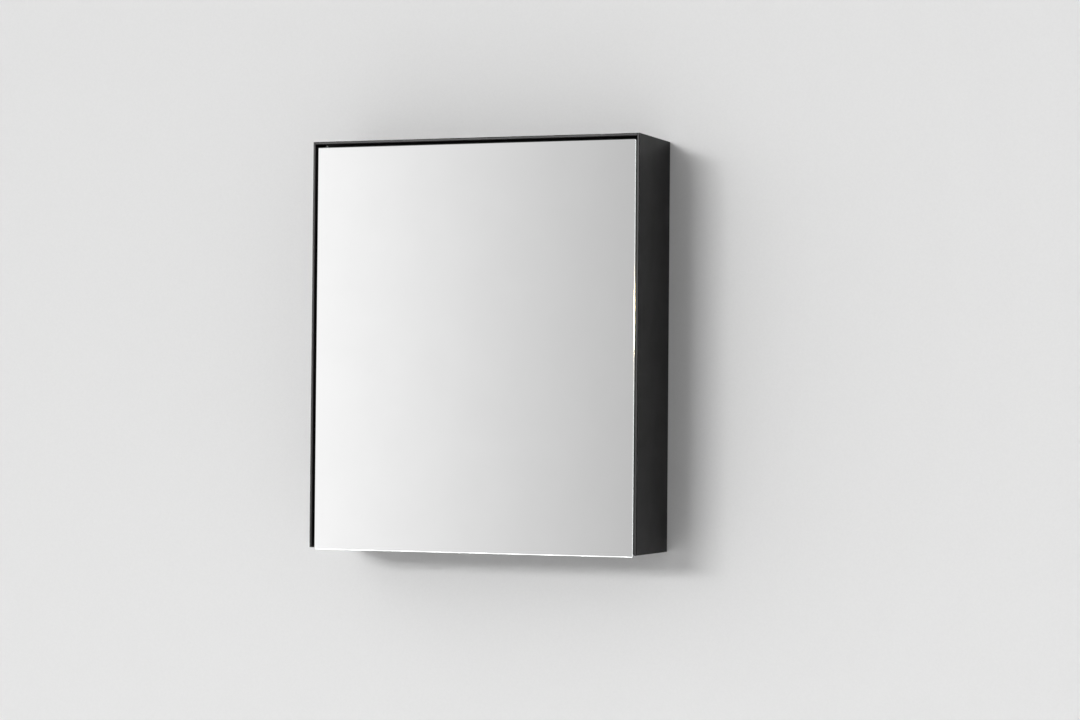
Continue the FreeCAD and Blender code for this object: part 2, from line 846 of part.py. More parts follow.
def door_rail(name, length, pivot_at=None):
    """A hollow rail: its section is padded along it, and both ends are mitred.

    Own x runs from the door's edge inwards, own y runs back, and own z runs along the rail.
    """
    wall = size("railWall")
    width = size("railWidth")
    depth = size("railDepth")
    step = depth - size("rearMirrorThickness")
    body = new_body(name)
    section = new_sketch(body, "XY_Plane", name + "_section")
    outline(section, [(zero, zero), (width, zero), (width, step), (rebate_start, step),
                      (rebate_start, depth), (zero, depth)])
    rectangle(section, wall, wall + size("keyCell"), wall, depth - wall)
    rectangle(section, rebate_start, width - wall, wall, step - wall)
    pad(body, section, name + "_pad", length)
    ends = new_sketch(body, "XZ_Plane", name + "_ends")
    outline(ends, [(zero, zero), (width, zero), (width, width)])
    outline(ends, [(zero, length), (width, length), (width, length - width)])
    pocket(body, ends, name + "_mitres")
    if pivot_at is not None:
        hole = new_sketch(body, "YZ_Plane", name + "_pivot")
        circle(hole, hinge_y - frame_front, pivot_at, size("pinRadius") + size("railHoleClearance"))
        pocket(body, hole, name + "_pivot_hole", wall, reverse=True)
    return body


def door_rails():
    """Four rails turned so that each one's own x points to the middle of the door."""
    height = frame_top - frame_bottom
    width = frame_x * 2
    pivot = hinge_x + frame_x
    left = door_rail("door_rail_left", height)
    place(left, -frame_x, frame_front, frame_bottom)
    right = door_rail("rail_right_body", height)
    place(right, frame_x, frame_front, frame_top, Rotation(Vector(0, 1, 0), 180))
    pilot = rod("striker_pilot", catch_x, frame_back, catch_z, "-y", size("strikerScrewRadius"),
                size("strikerScrewLength") - size("strikerThickness"))
    top = door_rail("door_rail_top", width, pivot)
    place(top, -frame_x, frame_front, frame_top, Rotation(Vector(0, 1, 0), 90))
    bottom = door_rail("door_rail_bottom", width, width - pivot)
    place(bottom, frame_x, frame_front, frame_bottom, Rotation(Vector(0, 1, 0), -90))
    return [left, cut("door_rail_right", right, [pilot]), top, bottom]


def corner_key(name, side, end, pivot=False):
    """An L-shaped key in the cells of two rails, with the pivot bore in it on the hinge side."""
    play = size("railWall") + size("keyClearance")
    broad = size("keyCell") - size("keyClearance") * 2
    near_x = frame_x - play
    near_z = (frame_top if end > 0 else -frame_bottom) - play

    def span(outer, inner, sign):
        return (inner, outer) if sign > 0 else (-outer, -inner)

    y = (frame_front + play, frame_back - play)
    leg = size("keyLeg")
    flat = box(name + "_flat", *span(near_x, near_x - leg, side), *y, *span(near_z, near_z - broad, end))
    upright = box(name + "_upright", *span(near_x, near_x - broad, side), *y,
                  *span(near_z, near_z - leg, end))
    key = fused(name if not pivot else name + "_blank", [flat, upright])
    if not pivot:
        return key
    start = near_z if end > 0 else -near_z
    bore = rod(name + "_bore", hinge_x, hinge_y, start, "-z" if end > 0 else "+z",
               size("pinRadius") + size("pivotClearance"), size("pinDepthInKey") + size("pivotBoreSpare"))
    return cut(name, key, [bore])


def corner_keys():
    right = [corner_key("key_top_right", 1, 1), corner_key("key_bottom_right", 1, -1)]
    return [
        corner_key("corner_key_top_left", -1, 1, pivot=True),
        corner_key("corner_key_bottom_left", -1, -1, pivot=True),
        grouped("corner_keys_right", right),
    ]


# ---------- assembly and export ----------
nodes = plates()
nodes += boards()
nodes.append(back_panel())
nodes.append(grouped("carcass_dowels", dowels("dowel")))
nodes.append(panel_screws())
nodes.append(back_screws())
nodes += [shelf(name, number) for number, name in enumerate(SHELF_NAMES)]
nodes.append(shelf_pins())
nodes.append(shelf_sleeves())
nodes += hinge_parts()
nodes += catch_parts()
nodes.append(mirror_front())
nodes.append(mirror_rear())
nodes.append(bonding_tape())
nodes += door_rails()
nodes += corner_keys()

doc.recompute()
for item in doc.Objects:
    if "Invalid" in item.State or "Error" in item.State:
        raise RuntimeError(f"{item.Label} did not build: {item.State}")

os.makedirs("parts", exist_ok=True)
for node in nodes:
    shape = node.Shape
    if shape.isNull() or not shape.isValid() or not shape.Solids:
        raise RuntimeError(f"{node.Label} has no valid solid")
    shape.exportStep(f"parts/{node.Label}.step")
    limits = shape.BoundBox
    print(f"{node.Label:24} {len(shape.Solids):3} solids  x {limits.XMin:.2f} {limits.XMax:.2f}"
          f"  y {limits.YMin:.2f} {limits.YMax:.2f}  z {limits.ZMin:.2f} {limits.ZMax:.2f}"
          f"  {shape.Volume:.1f} mm3")
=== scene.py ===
import math

import bpy
import numpy as np
from mathutils import Matrix, Vector


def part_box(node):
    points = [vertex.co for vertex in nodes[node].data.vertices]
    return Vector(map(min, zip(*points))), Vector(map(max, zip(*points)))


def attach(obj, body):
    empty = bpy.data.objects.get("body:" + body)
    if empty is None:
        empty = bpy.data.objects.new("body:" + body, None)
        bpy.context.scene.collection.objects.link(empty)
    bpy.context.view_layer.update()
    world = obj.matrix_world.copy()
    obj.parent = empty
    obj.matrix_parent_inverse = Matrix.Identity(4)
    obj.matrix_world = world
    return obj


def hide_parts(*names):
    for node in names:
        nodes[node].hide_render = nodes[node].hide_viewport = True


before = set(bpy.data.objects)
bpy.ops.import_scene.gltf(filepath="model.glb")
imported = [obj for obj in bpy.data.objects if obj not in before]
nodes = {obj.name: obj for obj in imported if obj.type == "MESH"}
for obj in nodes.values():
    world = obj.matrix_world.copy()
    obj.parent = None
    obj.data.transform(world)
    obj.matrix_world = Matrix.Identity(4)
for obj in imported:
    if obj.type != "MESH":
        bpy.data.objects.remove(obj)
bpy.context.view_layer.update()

mm = 0.001
print("frame loaded:", len(nodes), "nodes")


def linear(colour):
    # sRGB hex to linear: v / 12.92 up to 0.04045, above it ((v + 0.055) / 1.055) to the power 2.4
    values = [int(colour[i:i + 2], 16) / 255 for i in (1, 3, 5)]
    return [v / 12.92 if v <= 0.04045 else ((v + 0.055) / 1.055) ** 2.4 for v in values] + [1.0]


def perMetre(size):
    # pattern scale that gives one feature every size millimetres
    return 1000.0 / size


def addNode(tree, kind, inputs=None, **settings):
    # one node, its settings, and its inputs as plain values or links from other sockets
    node = tree.nodes.new(kind)
    for name, value in settings.items():
        setattr(node, name, value)
    for key, value in (inputs or {}).items():
        if isinstance(value, bpy.types.NodeSocket):
            tree.links.new(value, node.inputs[key])
        else:
            node.inputs[key].default_value = value
    return node


def newMaterial(name, shader):
    # a material with one Principled shader whose own sockets take the plain values
    material = bpy.data.materials.new(name)
    material.use_nodes = True
    tree = material.node_tree
    tree.nodes.clear()
    body = addNode(tree, "ShaderNodeBsdfPrincipled", shader)
    addNode(tree, "ShaderNodeOutputMaterial", {"Surface": body.outputs[0]})
    place = addNode(tree, "ShaderNodeTexCoord").outputs["Object"]
    return material, tree, body, place


fractalSpan = (0.3, 0.7)   # a fractal pattern's values lie mostly between these


def dress(tree, body, look, colour=None, rough=None, relief=None):
    # each follows the pattern given for it: colour from first to second, roughness from smooth to
    # rough, and a relief of depth mm
    if colour is not None:
        low, high = look.get("span", fractalSpan)
        share = addNode(tree, "ShaderNodeMapRange", {
            "Value": colour, "From Min": low, "From Max": high}).outputs[0]
        blend = addNode(tree, "ShaderNodeMix", {
            0: share, 6: linear(look["first"]), 7: linear(look["second"])}, data_type="RGBA").outputs[2]
        tree.links.new(blend, body.inputs["Base Color"])
    if rough is not None:
        low, high = fractalSpan
        level = addNode(tree, "ShaderNodeMapRange", {
            "Value": rough, "From Min": low, "From Max": high,
            "To Min": look["smooth"], "To Max": look["rough"]}).outputs[0]
        tree.links.new(level, body.inputs["Roughness"])
    if relief is not None:
        bump = addNode(tree, "ShaderNodeBump", {
            "Height": relief, "Distance": look["depth"] * mm, "Strength": 1.0}).outputs[0]
        tree.links.new(bump, body.inputs["Normal"])


def powderCoat():
    # aluminium plate, satin polyester powder coat: near black, soft sheen, fine orange peel
    look = {"first": "#0e0d0d", "second": "#131212", "smooth": 0.42, "rough": 0.48,
            "cloud": 45.0, "cloudDetail": 4.0, "peel": 1.5, "peelDetail": 1.5, "depth": 0.012}
    material, tree, body, place = newMaterial("satinPowderCoat", {"IOR": 1.5, "Specular IOR Level": 0.14})
    cloud = addNode(tree, "ShaderNodeTexNoise", {
        "Vector": place, "Scale": perMetre(look["cloud"]), "Detail": look["cloudDetail"]}).outputs["Fac"]
    peel = addNode(tree, "ShaderNodeTexNoise", {
        "Vector": place, "Scale": perMetre(look["peel"]), "Detail": look["peelDetail"]}).outputs["Fac"]
    dress(tree, body, look, cloud, cloud, peel)
    return material


def melamine():
    # particle board faced with black melamine, pearl embossed: dull, with pin-head grain
    look = {"first": "#272728", "second": "#38383a", "smooth": 0.52, "rough": 0.54,
            "pearl": 0.9, "span": (0.1, 0.6), "depth": 0.03, "cloud": 30.0, "cloudDetail": 3.0}
    material, tree, body, place = newMaterial("blackMelamine", {"IOR": 1.5, "Specular IOR Level": 0.3})
    pearl = addNode(tree, "ShaderNodeTexVoronoi", {"Vector": place, "Scale": perMetre(look["pearl"])},
                    feature="SMOOTH_F1").outputs["Distance"]
    cloud = addNode(tree, "ShaderNodeTexNoise", {
        "Vector": place, "Scale": perMetre(look["cloud"]), "Detail": look["cloudDetail"]}).outputs["Fac"]
    dress(tree, body, look, pearl, cloud, pearl)
    return material


def silvering():
    # float glass silvered behind: a true and neutral reflection, with the slightest roller wave
    look = {"first": "#fbfbfb", "second": "#f9f9f9", "smooth": 0.012, "rough": 0.022,
            "film": 60.0, "filmDetail": 5.0, "wave": 90.0, "waveDetail": 1.0, "depth": 0.0006}
    material, tree, body, place = newMaterial("silveredGlass", {"Metallic": 1.0})
    film = addNode(tree, "ShaderNodeTexNoise", {
        "Vector": place, "Scale": perMetre(look["film"]), "Detail": look["filmDetail"]}).outputs["Fac"]
    wave = addNode(tree, "ShaderNodeTexNoise", {
        "Vector": place, "Scale": perMetre(look["wave"]), "Detail": look["waveDetail"]}).outputs["Fac"]
    dress(tree, body, look, film, film, wave)
    return material


def polishedArris():
    # ground and polished bevel of a mirror: it bends the view like a prism before the silver returns
    # it, so it shines with what lies further round the room. The bent view is a mirror's whose normal
    # keeps the part across the sheet and turns the part along it back by the bend.
    look = {"first": "#fcfdfd", "second": "#f1f7f5", "smooth": 0.06, "rough": 0.08,
            "mark": 0.8, "markDetail": 2.0, "bend": -0.24}
    material, tree, body, place = newMaterial("polishedBevel", {"Metallic": 1.0})
    mark = addNode(tree, "ShaderNodeTexNoise", {
        "Vector": place, "Scale": perMetre(look["mark"]), "Detail": look["markDetail"]}).outputs["Fac"]
    dress(tree, body, look, mark, mark)
    facing = addNode(tree, "ShaderNodeTexCoord").outputs["Normal"]
    bent = addNode(tree, "ShaderNodeVectorMath", {0: facing, 1: (look["bend"], 1.0, look["bend"])},
                   operation="MULTIPLY").outputs[0]
    turnedBack = addNode(tree, "ShaderNodeVectorTransform", {"Vector": bent}, vector_type="NORMAL",
                         convert_from="OBJECT", convert_to="WORLD").outputs[0]
    even = addNode(tree, "ShaderNodeVectorMath", {0: turnedBack}, operation="NORMALIZE").outputs[0]
    tree.links.new(even, body.inputs["Normal"])
    return material


def clearGlass(name, look):
    # toughened float glass: clear on its faces and sea green through its long edges
    material, tree, body, place = newMaterial(name, {
        "Base Color": linear(look["colour"]), "IOR": 1.52, "Transmission Weight": 1.0})
    smear = addNode(tree, "ShaderNodeTexNoise", {
        "Vector": place, "Scale": perMetre(look["smear"]), "Detail": look["smearDetail"]}).outputs["Fac"]
    dress(tree, body, look, rough=smear)
    return material


def grained(name, shader, look):
    # a finish that one fractal grain rules: its features are grain mm apart, drawn out by stretch
    # along each axis, and colour, roughness and relief all follow it
    material, tree, body, place = newMaterial(name, shader)
    if "stretch" in look:
        place = addNode(tree, "ShaderNodeMapping", {"Vector": place, "Scale": look["stretch"]}).outputs[0]
    grain = addNode(tree, "ShaderNodeTexNoise", {
        "Vector": place, "Scale": perMetre(look["grain"]), "Detail": look["detail"]}).outputs["Fac"]
    dress(tree, body, look, grain, grain, grain)
    return material


def anodised(name, run):
    # extruded aluminium, black anodised: a dark metal whose die lines run along the rail's axis, run
    look = {"first": "#202123", "second": "#2b2c2e", "smooth": 0.3, "rough": 0.4,
            "grain": 0.35, "detail": 2.0, "drawn": 0.01, "depth": 0.004}
    look["stretch"] = [look["drawn"] if axis == run else 1.0 for axis in range(3)]
    return grained(name, {"Metallic": 0.65}, look)


# the marks of polishing and the grain of metals and of moulded skins are drawn coarser than the real
# ones, which would be too fine to show
coat = powderCoat()
boardFace = melamine()
railUpright = anodised("blackAnodisedUpright", 2)
railLevel = anodised("blackAnodisedLevel", 0)
silver = silvering()
arris = polishedArris()
# polished side of the sheet: sea green, darkened as painted shade of the narrow gap, wet, with faint
# grinding marks
shadedSheetEdge = grained("polishedGlassEdgePaintedShade", {"IOR": 1.52, "Coat Weight": 0.4}, {
    "first": "#36463f", "second": "#26332d", "smooth": 0.12, "rough": 0.2,
    "grain": 0.8, "detail": 2.0, "depth": 0.003})
# protective lacquer on a mirror's back: slate grey, curtain coated, so it runs in long soft ripples
lacquer = grained("mirrorBackLacquer", {"IOR": 1.5}, {
    "first": "#43484b", "second": "#50565a", "smooth": 0.42, "rough": 0.55,
    "grain": 6.0, "detail": 3.0, "stretch": [1.0, 1.0, 0.08], "depth": 0.02})
# the faces of a toughened shelf: nearly colourless, with a faint smear
shelfFace = clearGlass("toughenedGlassFace", {
    "colour": "#f1faf6", "smooth": 0.0, "rough": 0.02, "smear": 35.0, "smearDetail": 4.0})
# its pencil-ground edge: sea green and a little hazy
shelfEdge = clearGlass("toughenedGlassEdge", {
    "colour": "#8fc4ae", "smooth": 0.05, "rough": 0.07, "smear": 35.0, "smearDetail": 4.0})
# bright zinc on steel screws: cool and slightly hazy
zinc = grained("brightZincPlate", {"Metallic": 1.0}, {
    "first": "#c3c9cd", "second": "#aab1b6", "smooth": 0.22, "rough": 0.34,
    "grain": 0.7, "detail": 3.0, "depth": 0.003})
# nickel on pins and the magnet: warmer and smoother than zinc
nickel = grained("nickelPlate", {"Metallic": 1.0}, {
    "first": "#d2ccc0", "second": "#c0b9ab", "smooth": 0.12, "rough": 0.24,
    "grain": 0.9, "detail": 3.0, "depth": 0.001})
# centreless ground pivot steel: bright, with fine rings round the pin
pinSteel = grained("groundSteel", {"Metallic": 1.0}, {
    "first": "#bfc1c3", "second": "#a4a7aa", "smooth": 0.18, "rough": 0.3,
    "grain": 0.2, "detail": 3.0, "stretch": [1.0, 1.0, 40.0], "depth": 0.003})
# die cast corner keys: dull grey with the skin of the die
castAlloy = grained("castZincAlloy", {"Metallic": 1.0}, {
    "first": "#9b9d9e", "second": "#85888a", "smooth": 0.4, "rough": 0.52,
    "grain": 0.5, "detail": 3.0, "depth": 0.02})
# electrocoat on pressed steel: thin, black and half glossy
plateCoat = grained("blackElectrocoat", {"IOR": 1.5}, {
    "first": "#19191a", "second": "#222223", "smooth": 0.32, "rough": 0.42,
    "grain": 0.9, "detail": 2.0, "depth": 0.006})
# moulded nylon: black, with a spark-eroded skin
nylon = grained("mouldedNylon", {"IOR": 1.5}, {
    "first": "#1a1b1d", "second": "#232427", "smooth": 0.42, "rough": 0.52,
    "grain": 0.6, "detail": 2.0, "depth": 0.01})
# soft polyurethane stop: dark grey and matt
softStop = grained("softPolyurethane", {"IOR": 1.5}, {
    "first": "#2b2c2e", "second": "#343537", "smooth": 0.5, "rough": 0.6,
    "grain": 0.4, "detail": 2.0, "depth": 0.008})
# clear vinyl sleeve: lets most light through, with a slight bloom
vinyl = grained("clearVinyl", {"IOR": 1.5, "Transmission Weight": 0.9}, {
    "first": "#e6eceb", "second": "#dbe3e1", "smooth": 0.16, "rough": 0.26,
    "grain": 0.8, "detail": 2.0, "depth": 0.004})
# black foam tape: dead matt, with open cells
foam = grained("blackFoamTape", {"IOR": 1.5}, {
    "first": "#1c1c1c", "second": "#2c2c2c", "smooth": 0.8, "rough": 0.9,
    "grain": 0.35, "detail": 2.0, "depth": 0.06})
# turned beech: pale, with short dark flecks that run along the dowel
wood = grained("turnedBeech", {"IOR": 1.45}, {
    "first": "#d3a878", "second": "#b07f50", "smooth": 0.6, "rough": 0.75,
    "grain": 0.8, "detail": 4.0, "stretch": [0.08, 1.0, 1.0], "depth": 0.05})
print("materials made")


sharpFrom = 35.0   # degrees between two faces from which their edge is drawn sharp


def meshPiece(name, points, faces, materials, indices):
    # puts points and faces in a mesh, smooth but for its sharp edges
    mesh = bpy.data.meshes.new(name)
    mesh.from_pydata(points.tolist(), [], faces)
    mesh.polygons.foreach_set("material_index", indices)
    mesh.polygons.foreach_set("use_smooth", [True] * len(faces))
    mesh.set_sharp_from_angle(angle=math.radians(sharpFrom))
    for material in materials:
        mesh.materials.append(material)
    mesh.update()
    piece = bpy.data.objects.new(name, mesh)
    bpy.context.scene.collection.objects.link(piece)
    return piece


def ringFaces(rows, columns):
    # quads between neighbouring rows of a grid whose columns close on themselves
    row, column = np.meshgrid(np.arange(rows - 1), np.arange(columns), indexing="ij")
    following = (column + 1) % columns
    corners = (row * columns + column, row * columns + following,
               (row + 1) * columns + following, (row + 1) * columns + column)
    return np.stack(corners, -1).reshape(-1, 4)


def roundedOutline(width, height, radius, steps):
    # centres of the four corner arcs, and on each a quarter turn: centre + radius (cos a, sin a)
    quarter = np.linspace(0, math.pi / 2, steps)
    centres = np.array([[1, 1], [-1, 1], [-1, -1], [1, -1]]) * [width / 2 - radius, height / 2 - radius]
    angles = quarter[None, :] + np.arange(4)[:, None] * math.pi / 2
    normals = np.stack([np.cos(angles), np.sin(angles)], -1)
    return (centres[:, None, :] + radius * normals).reshape(-1, 2), normals.reshape(-1, 2)


def slab(name, low, high, face, corner, steps, edge, materials, bands):
    # a sheet of glass: the edge's profile (inset, height) carried round a rounded rectangle as
    # outline point - inset * outward normal, then closed by a flat face in front and behind.
    # face is the axis that the sheet looks along, and a minus turns its front to the low side.
    axis, sign = abs(face) - 1, (1 if face > 0 else -1)
    across, up = [a for a in range(3) if a != axis]
    centre = (np.array(low) + np.array(high)) / 2
    size = np.array(high) - np.array(low)
    line, normal = roundedOutline(size[across], size[up], corner, steps)
    inset, height = np.array(edge).T
    plane = line[None] - inset[:, None, None] * normal[None]
    points = np.zeros((len(inset), len(line), 3))
    points[..., across] = plane[..., 0] + centre[across]
    points[..., up] = plane[..., 1] + centre[up]
    points[..., axis] = centre[axis] + sign * (height[:, None] - size[axis] / 2)
    count = len(line)
    sides = ringFaces(len(inset), count)
    back = np.arange(count)[None, ::-1]
    front = back[:, ::-1] + (len(inset) - 1) * count
    # the order of across and up decides which way round the faces run
    if (axis == 1) == (sign > 0):
        sides, back, front = sides[:, ::-1], back[:, ::-1], front[:, ::-1]
    indices = np.repeat(bands[:-2], count).tolist() + list(bands[-2:])
    faces = sides.tolist() + back.tolist() + front.tolist()
    return meshPiece(name, points.reshape(-1, 3), faces, materials, indices)


def swept(radius, height, segments):
    # profile points (radius, height) carried once round Z: (radius cos a, radius sin a, height)
    angle = np.linspace(0, 2 * math.pi, segments, endpoint=False)
    r, a = np.meshgrid(radius, angle, indexing="ij")
    z = np.repeat(height[:, None], segments, 1)
    return np.stack([r * np.cos(a), r * np.sin(a), z], -1), a


def turned(profile, segments, shape=None):
    # a turned form about Z from a profile in mm, with shape(points, angle) free to move the points,
    # and the profile's two ends, which lie on the axis, closed by one pole each
    radius, height = np.array(profile, float).T * mm
    points, a = swept(radius[1:-1], height[1:-1], segments)
    first = np.array([[[0, 0, height[0]]]])
    if shape is not None:
        points, first = shape(points, a), shape(first, np.zeros((1, 1)))
    last = np.array([[0, 0, height[-1]]])
    count = points.shape[0] * segments
    column = np.arange(segments)
    following = (column + 1) % segments
    end = count - segments
    firstPole, lastPole = np.full(segments, count), np.full(segments, count + 1)
    ends = np.vstack([np.stack([firstPole, following, column], -1),
                      np.stack([end + column, end + following, lastPole], -1)])
    allPoints = np.vstack([points.reshape(-1, 3), first.reshape(-1, 3), last])
    return allPoints, [ringFaces(len(radius) - 2, segments), ends]


def turnedRing(profile, segments):
    # a ring about Z: a closed profile of (radius, height) in mm swept once round
    radius, height = np.array(profile, float).T * mm
    points, _ = swept(radius, height, segments)
    column = np.arange(segments)
    following = (column + 1) % segments
    end = (len(radius) - 1) * segments
    closing = np.stack([end + column, end + following, following, column], -1)
    return points.reshape(-1, 3), [np.vstack([ringFaces(len(radius), segments), closing])]


# what lays a form's +Z along each way
turns = {
    "+x": np.array([[0, 0, 1], [0, 1, 0], [-1, 0, 0]]),
    "-x": np.array([[0, 0, -1], [0, 1, 0], [1, 0, 0]]),
    "+y": np.array([[1, 0, 0], [0, 0, 1], [0, -1, 0]]),
    "-y": np.array([[1, 0, 0], [0, 0, -1], [0, 1, 0]]),
    "+z": np.eye(3),
    "-z": np.array([[1, 0, 0], [0, -1, 0], [0, 0, -1]]),
}


def repeated(name, form, spots, material):
    # one form set at many spots: points rolled about own Z, then turned so that it runs along the
    # spot's way, and every copy's faces moved on by the points before it
    points, kinds = form
    placed = []
    for place, way, roll in spots:
        c, s = math.cos(roll), math.sin(roll)
        spin = np.array([[c, -s, 0], [s, c, 0], [0, 0, 1]])
        placed.append(points @ spin.T @ turns[way].T + np.array(place))
    onward = len(points) * np.arange(len(spots))[:, None, None]
    faces = []
    for kind in kinds:
        faces += (kind + onward).reshape(-1, kind.shape[1]).tolist()
    return meshPiece(name, np.vstack(placed), faces, [material], [0] * len(faces))


def solidBoxes(node):
    # lowest and highest corner of each separate solid in a CAD node: triangles that share a corner
    # take the lowest label among them until nothing changes
    mesh = nodes[node].data
    places = np.empty(len(mesh.vertices) * 3)
    mesh.vertices.foreach_get("co", places)
    places = places.reshape(-1, 3)
    corners = np.empty(len(mesh.loops), int)
    mesh.loops.foreach_get("vertex_index", corners)
    _, same = np.unique(np.round(places, 6), axis=0, return_inverse=True)
    triangles = same.reshape(-1)[corners.reshape(-1, 3)]
    label = np.arange(same.max() + 1)
    while True:
        least = label[triangles].min(1)
        following = label.copy()
        for corner in range(3):
            np.minimum.at(following, triangles[:, corner], least)
        if (following == label).all():
            break
        label = following
    owner = label[same.reshape(-1)]
    return [(places[owner == group].min(0), places[owner == group].max(0)) for group in np.unique(owner)]


def spotsAlong(node, axis=None, sign=None):
    # for each solid: the middle of the end it starts from, the way it points from there, and its
    # length in mm. Left out, the axis is the solid's longest and the sign leads away from the middle.
    spots = []
    for low, high in solidBoxes(node):
        middle = (low + high) / 2
        way = axis if axis is not None else int(np.argmax(high - low))
        outward = sign if sign is not None else (1 if middle[way] > 0 else -1)
        start = middle.copy()
        start[way] = low[way] if outward > 0 else high[way]
        spots.append((start, ("+" if outward > 0 else "-") + "xyz"[way], (high[way] - low[way]) / mm))
    return spots


def lowEnd(node, axis):
    # middle of the node's low end along the axis, and its length and radius in mm
    low, high = np.array(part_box(node))
    start = (low + high) / 2
    start[axis] = low[axis]
    length, width = (high - low)[axis] / mm, (high - low)[(axis + 1) % 3] / mm
    return start, length, width / 2


def lengthwise(start, tail, length):
    # a profile whose start is measured from the piece's start, and whose tail from its end
    return start + [(radius, length - back) for radius, back in tail]


def standIn(piece, node, body):
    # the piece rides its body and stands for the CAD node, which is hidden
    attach(piece, body)
    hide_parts(node)


frontMirror = {"arris": 0.7 * mm, "seam": 0.3 * mm, "corner": 1.2 * mm, "steps": 5}
rearMirror = {"arris": 0.6 * mm, "seam": 0.2 * mm, "corner": 1.0 * mm, "steps": 5}
glassShelf = {"bulge": 1.1 * mm, "corner": 4.0 * mm, "steps": 9, "edgeRows": 11}


def arrisProfile(thickness, chamfer, back):
    # from the back face: a small seam, the sheet's side, then the polished arris up to the front
    return [(back, 0.0), (0.0, back), (0.0, thickness - chamfer), (chamfer, thickness)]


def pencilProfile(thickness, bulge, rows):
    # a half ellipse from face to face: inset = bulge (1 - cos), height = thickness (1 + sin) / 2
    angle = np.linspace(-math.pi / 2, math.pi / 2, rows)
    return list(zip(bulge * (1 - np.cos(angle)), thickness * (1 + np.sin(angle)) / 2))


def mirrorPiece(name, node, sheet, face):
    low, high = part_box(node)
    edge = arrisProfile(high[1] - low[1], sheet["arris"], sheet["seam"])
    # seam and side, arris, then the back and the front face
    bands = [1, 1, 2, 3, 0]
    piece = slab(name, low, high, face, sheet["corner"], sheet["steps"], edge,
                 [silver, shadedSheetEdge, arris, lacquer], bands)
    standIn(piece, node, "door")


def shelfPiece(name, node):
    low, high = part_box(node)
    edge = pencilProfile(high[2] - low[2], glassShelf["bulge"], glassShelf["edgeRows"])
    bands = [1] * (len(edge) - 1) + [0, 0]
    piece = slab(name, low, high, 3, glassShelf["corner"], glassShelf["steps"], edge,
                 [shelfFace, shelfEdge], bands)
    standIn(piece, node, "cabinet")


mirrorPiece("frontMirrorGlass", "mirror_front", frontMirror, -2)
mirrorPiece("rearMirrorGlass", "mirror_rear", rearMirror, 2)
for level in ("lower", "middle", "upper"):
    shelfPiece(f"{level}GlassShelf", f"shelf_{level}")
print("glass made")


# screws, in mm: head and shank are radii, rise is the head's height, and slot is the reach of the
# driver's cross from the middle
panelScrew = {"head": 4.0, "shank": 2.0, "rise": 2.0, "pan": False, "pitch": 1.4,
              "slot": 2.3, "slotWidth": 0.95, "slotDepth": 1.3}
backScrew = {"head": 3.5, "shank": 1.75, "rise": 1.75, "pan": False, "pitch": 1.5,
             "slot": 2.0, "slotWidth": 0.85, "slotDepth": 1.2}
plateScrew = {"head": 3.8, "shank": 2.0, "rise": 2.4, "pan": True, "pitch": 1.2,
              "slot": 2.1, "slotWidth": 0.9, "slotDepth": 1.2}
strikerScrew = {"head": 2.4, "shank": 1.2, "rise": 1.0, "pan": False, "pitch": 0.8,
                "slot": 1.4, "slotWidth": 0.55, "slotDepth": 0.6}
# parts that every screw shares: shares of the head, shank or pitch, and lengths in mm
screwParts = {"faceRings": 15, "flatFace": 0.94, "rim": 0.12, "panFace": 0.97, "panCrown": 0.45,
              "panPower": 4, "panSide": 0.62, "panFoot": 0.985, "core": 0.84, "lead": 1.2, "runOut": 1.4,
              "crestAt": 0.45, "rootAt": 0.9, "tip": [(0.8, 1.2), (0.5, 0.1), (0.0, 0.0)], "segments": 40,
              "slotWall": 0.12, "slotFade": 3, "faceDepth": 0.35, "firstTurn": 0.35, "nextTurn": 1.1}


def crossRecess(reach, width, depth):
    # sinks the head's face by depth inside two crossed slots, tapering to their ends
    p = screwParts

    def shape(points, angle):
        x, y = np.abs(points[..., 0]) / mm, np.abs(points[..., 1]) / mm
        slot = np.clip((width / 2 - np.minimum(x, y)) / p["slotWall"], 0, 1)
        fade = np.clip(1 - (np.maximum(x, y) / reach) ** p["slotFade"], 0, 1)
        onFace = points[..., 2] < p["faceDepth"] * mm
        moved = points.copy()
        moved[..., 2] += np.where(onFace, slot * fade * depth * mm, 0)
        return moved
    return shape


def threaded(core, crest, start, end, pitch):
    # profile points of a screw's thread drawn as ridges: out to the crest and back once a pitch
    points = []
    for turn in range(int((end - start) / pitch)):
        base = start + turn * pitch
        points += [(core, base), (crest, base + screwParts["crestAt"] * pitch),
                   (core, base + screwParts["rootAt"] * pitch)]
    return points


def screwForm(screw, length):
    # from the face's middle out over the head, down the shank and thread to the point
    p = screwParts
    head, shank, rise = screw["head"], screw["shank"], screw["rise"]
    if screw["pan"]:
        # height over the face = crown (radius / head) to the power 4
        rings = np.linspace(0, head * p["panFace"], p["faceRings"])
        face = [(r, rise * p["panCrown"] * (r / head) ** p["panPower"]) for r in rings]
        flank = [(head, rise * p["panSide"]), (head * p["panFoot"], rise), (shank, rise)]
    else:
        face = [(r, 0.0) for r in np.linspace(0, head * p["flatFace"], p["faceRings"])]
        flank = [(head, p["rim"]), (shank, rise)]
    thread = threaded(shank * p["core"], shank, rise + p["lead"], length - p["runOut"], screw["pitch"])
    tip = [(shank * share, back) for share, back in p["tip"]]
    recess = crossRecess(screw["slot"], screw["slotWidth"], screw["slotDepth"])
    return turned(lengthwise(face + flank + thread, tip, length), p["segments"], recess)


def addScrews(name, node, screw, body, axis=None, sign=None):
    # each cross is left at its own angle, as a driver leaves it
    found = spotsAlong(node, axis, sign)
    length = found[-1][2]
    first, step = screwParts["firstTurn"], screwParts["nextTurn"]
    spots = [(start, way, first + index * step) for index, (start, way, _) in enumerate(found)]
    standIn(repeated(name, screwForm(screw, length), spots, zinc), node, body)


